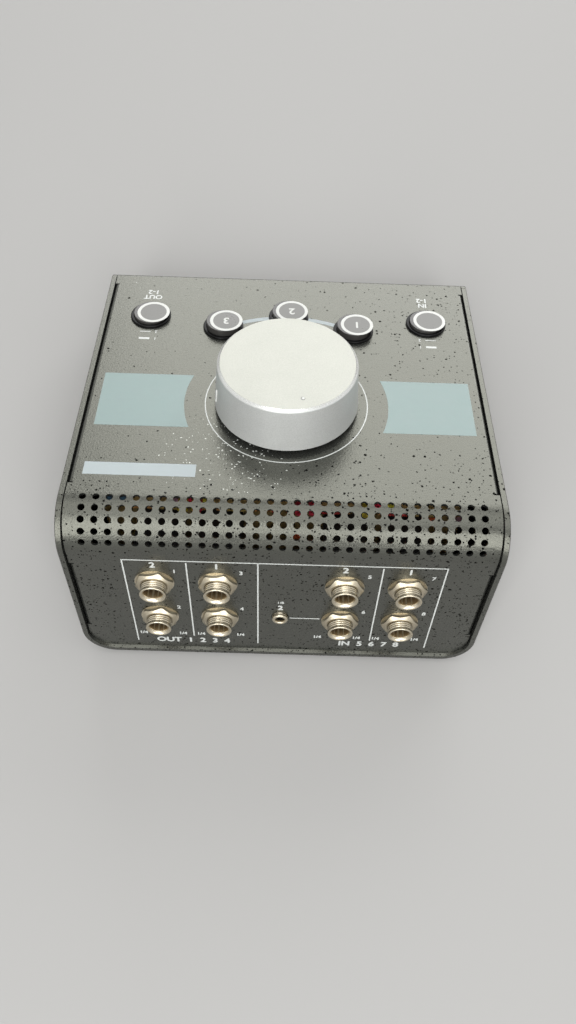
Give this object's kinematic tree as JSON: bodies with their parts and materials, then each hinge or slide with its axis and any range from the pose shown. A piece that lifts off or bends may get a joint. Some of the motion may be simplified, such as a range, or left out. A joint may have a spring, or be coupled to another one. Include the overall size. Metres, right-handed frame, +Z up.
{
  "type": "studio monitor controller",
  "caption": "Desktop studio monitor controller: sloping folded steel case with a large volume knob, latching push buttons, a perforated bend and rear jack sockets.",
  "frame": {"origin": "centre of the outline at the height of the feet's undersides", "axes": "+Z up, -Y towards the user's low front edge, +Y towards the jacks, +X to the user's right"},
  "size_m": [0.1518, 0.1567, 0.0831],
  "materials": {
    "case_paint": "dark grey speckled powder coat on steel, semi-gloss, pale printed markings",
    "black_screws": "black oxide steel",
    "rubber": "matt black rubber",
    "zinc_steel": "zinc plated steel",
    "nickel": "nickel plated brass",
    "black_gloss": "black moulded plastic, polished, white printed ring on the caps",
    "black_plastic": "matt black moulded plastic",
    "white_plastic": "natural moulded plastic",
    "board": "brown circuit board",
    "resistor_body": "lacquered",
    "capacitor_body": "red moulded case",
    "ribbon": "grey ribbon cable",
    "knob_aluminium": "fine satin anodised",
    "shaft_aluminium": "turned"
  },
  "bodies": {
    "housing": {"top_cover": "case_paint", "base_tray": "case_paint", "cover_screws": "black_screws", "rubber_feet": "rubber", "volume_pot": "zinc_steel", "pot_washer": "zinc_steel", "pot_nut": "zinc_steel", "button_bezels": "black_gloss", "push_switches": "black_plastic", "main_board": "board", "board_standoffs": "zinc_steel", "board_screws": "zinc_steel", "jack_board": "board", "jack_boxes": "black_plastic", "jack_sleeves": "nickel", "jack_washers": "nickel", "jack_nuts": "nickel", "mini_jack_box": "black_plastic", "mini_jack_sleeve": "nickel", "resistors": "resistor_body", "capacitors": "capacitor_body", "board_headers": "black_plastic", "ribbon_cable": "ribbon"},
    "knob": {"volume_knob": "knob_aluminium", "pot_shaft": "shaft_aluminium", "knob_grub_screw": "black_screws"},
    "input_select_button": {"input_select_cap": "black_gloss", "input_select_plunger": "white_plastic"},
    "output_select_button": {"output_select_cap": "black_gloss", "output_select_plunger": "white_plastic"},
    "dim_button": {"dim_cap": "black_gloss", "dim_plunger": "white_plastic"},
    "mute_button": {"mute_cap": "black_gloss", "mute_plunger": "white_plastic"},
    "mono_button": {"mono_cap": "black_gloss", "mono_plunger": "white_plastic"}
  },
  "joints": [
    {"name": "volume_turn", "type": "hinge", "parent": "housing", "child": "knob", "pos_m": [0, -0.00671, 0.05618], "axis": [0, -0.342, 0.9397], "range_deg": [-74, 226]},
    {"name": "input_select_press", "type": "slide", "parent": "housing", "child": "input_select_button", "axis": [0, 0.342, -0.9397], "range_m": [-0.0014, 0.001], "stiffness_N_per_m": 600},
    {"name": "output_select_press", "type": "slide", "parent": "housing", "child": "output_select_button", "axis": [0, 0.342, -0.9397], "range_m": [-0.0014, 0.001], "stiffness_N_per_m": 600},
    {"name": "dim_press", "type": "slide", "parent": "housing", "child": "dim_button", "axis": [0, 0.342, -0.9397], "range_m": [0, 0.0024], "stiffness_N_per_m": 600},
    {"name": "mute_press", "type": "slide", "parent": "housing", "child": "mute_button", "axis": [0, 0.342, -0.9397], "range_m": [0, 0.0024], "stiffness_N_per_m": 600},
    {"name": "mono_press", "type": "slide", "parent": "housing", "child": "mono_button", "axis": [0, 0.342, -0.9397], "range_m": [0, 0.0024], "stiffness_N_per_m": 600}
  ]
}
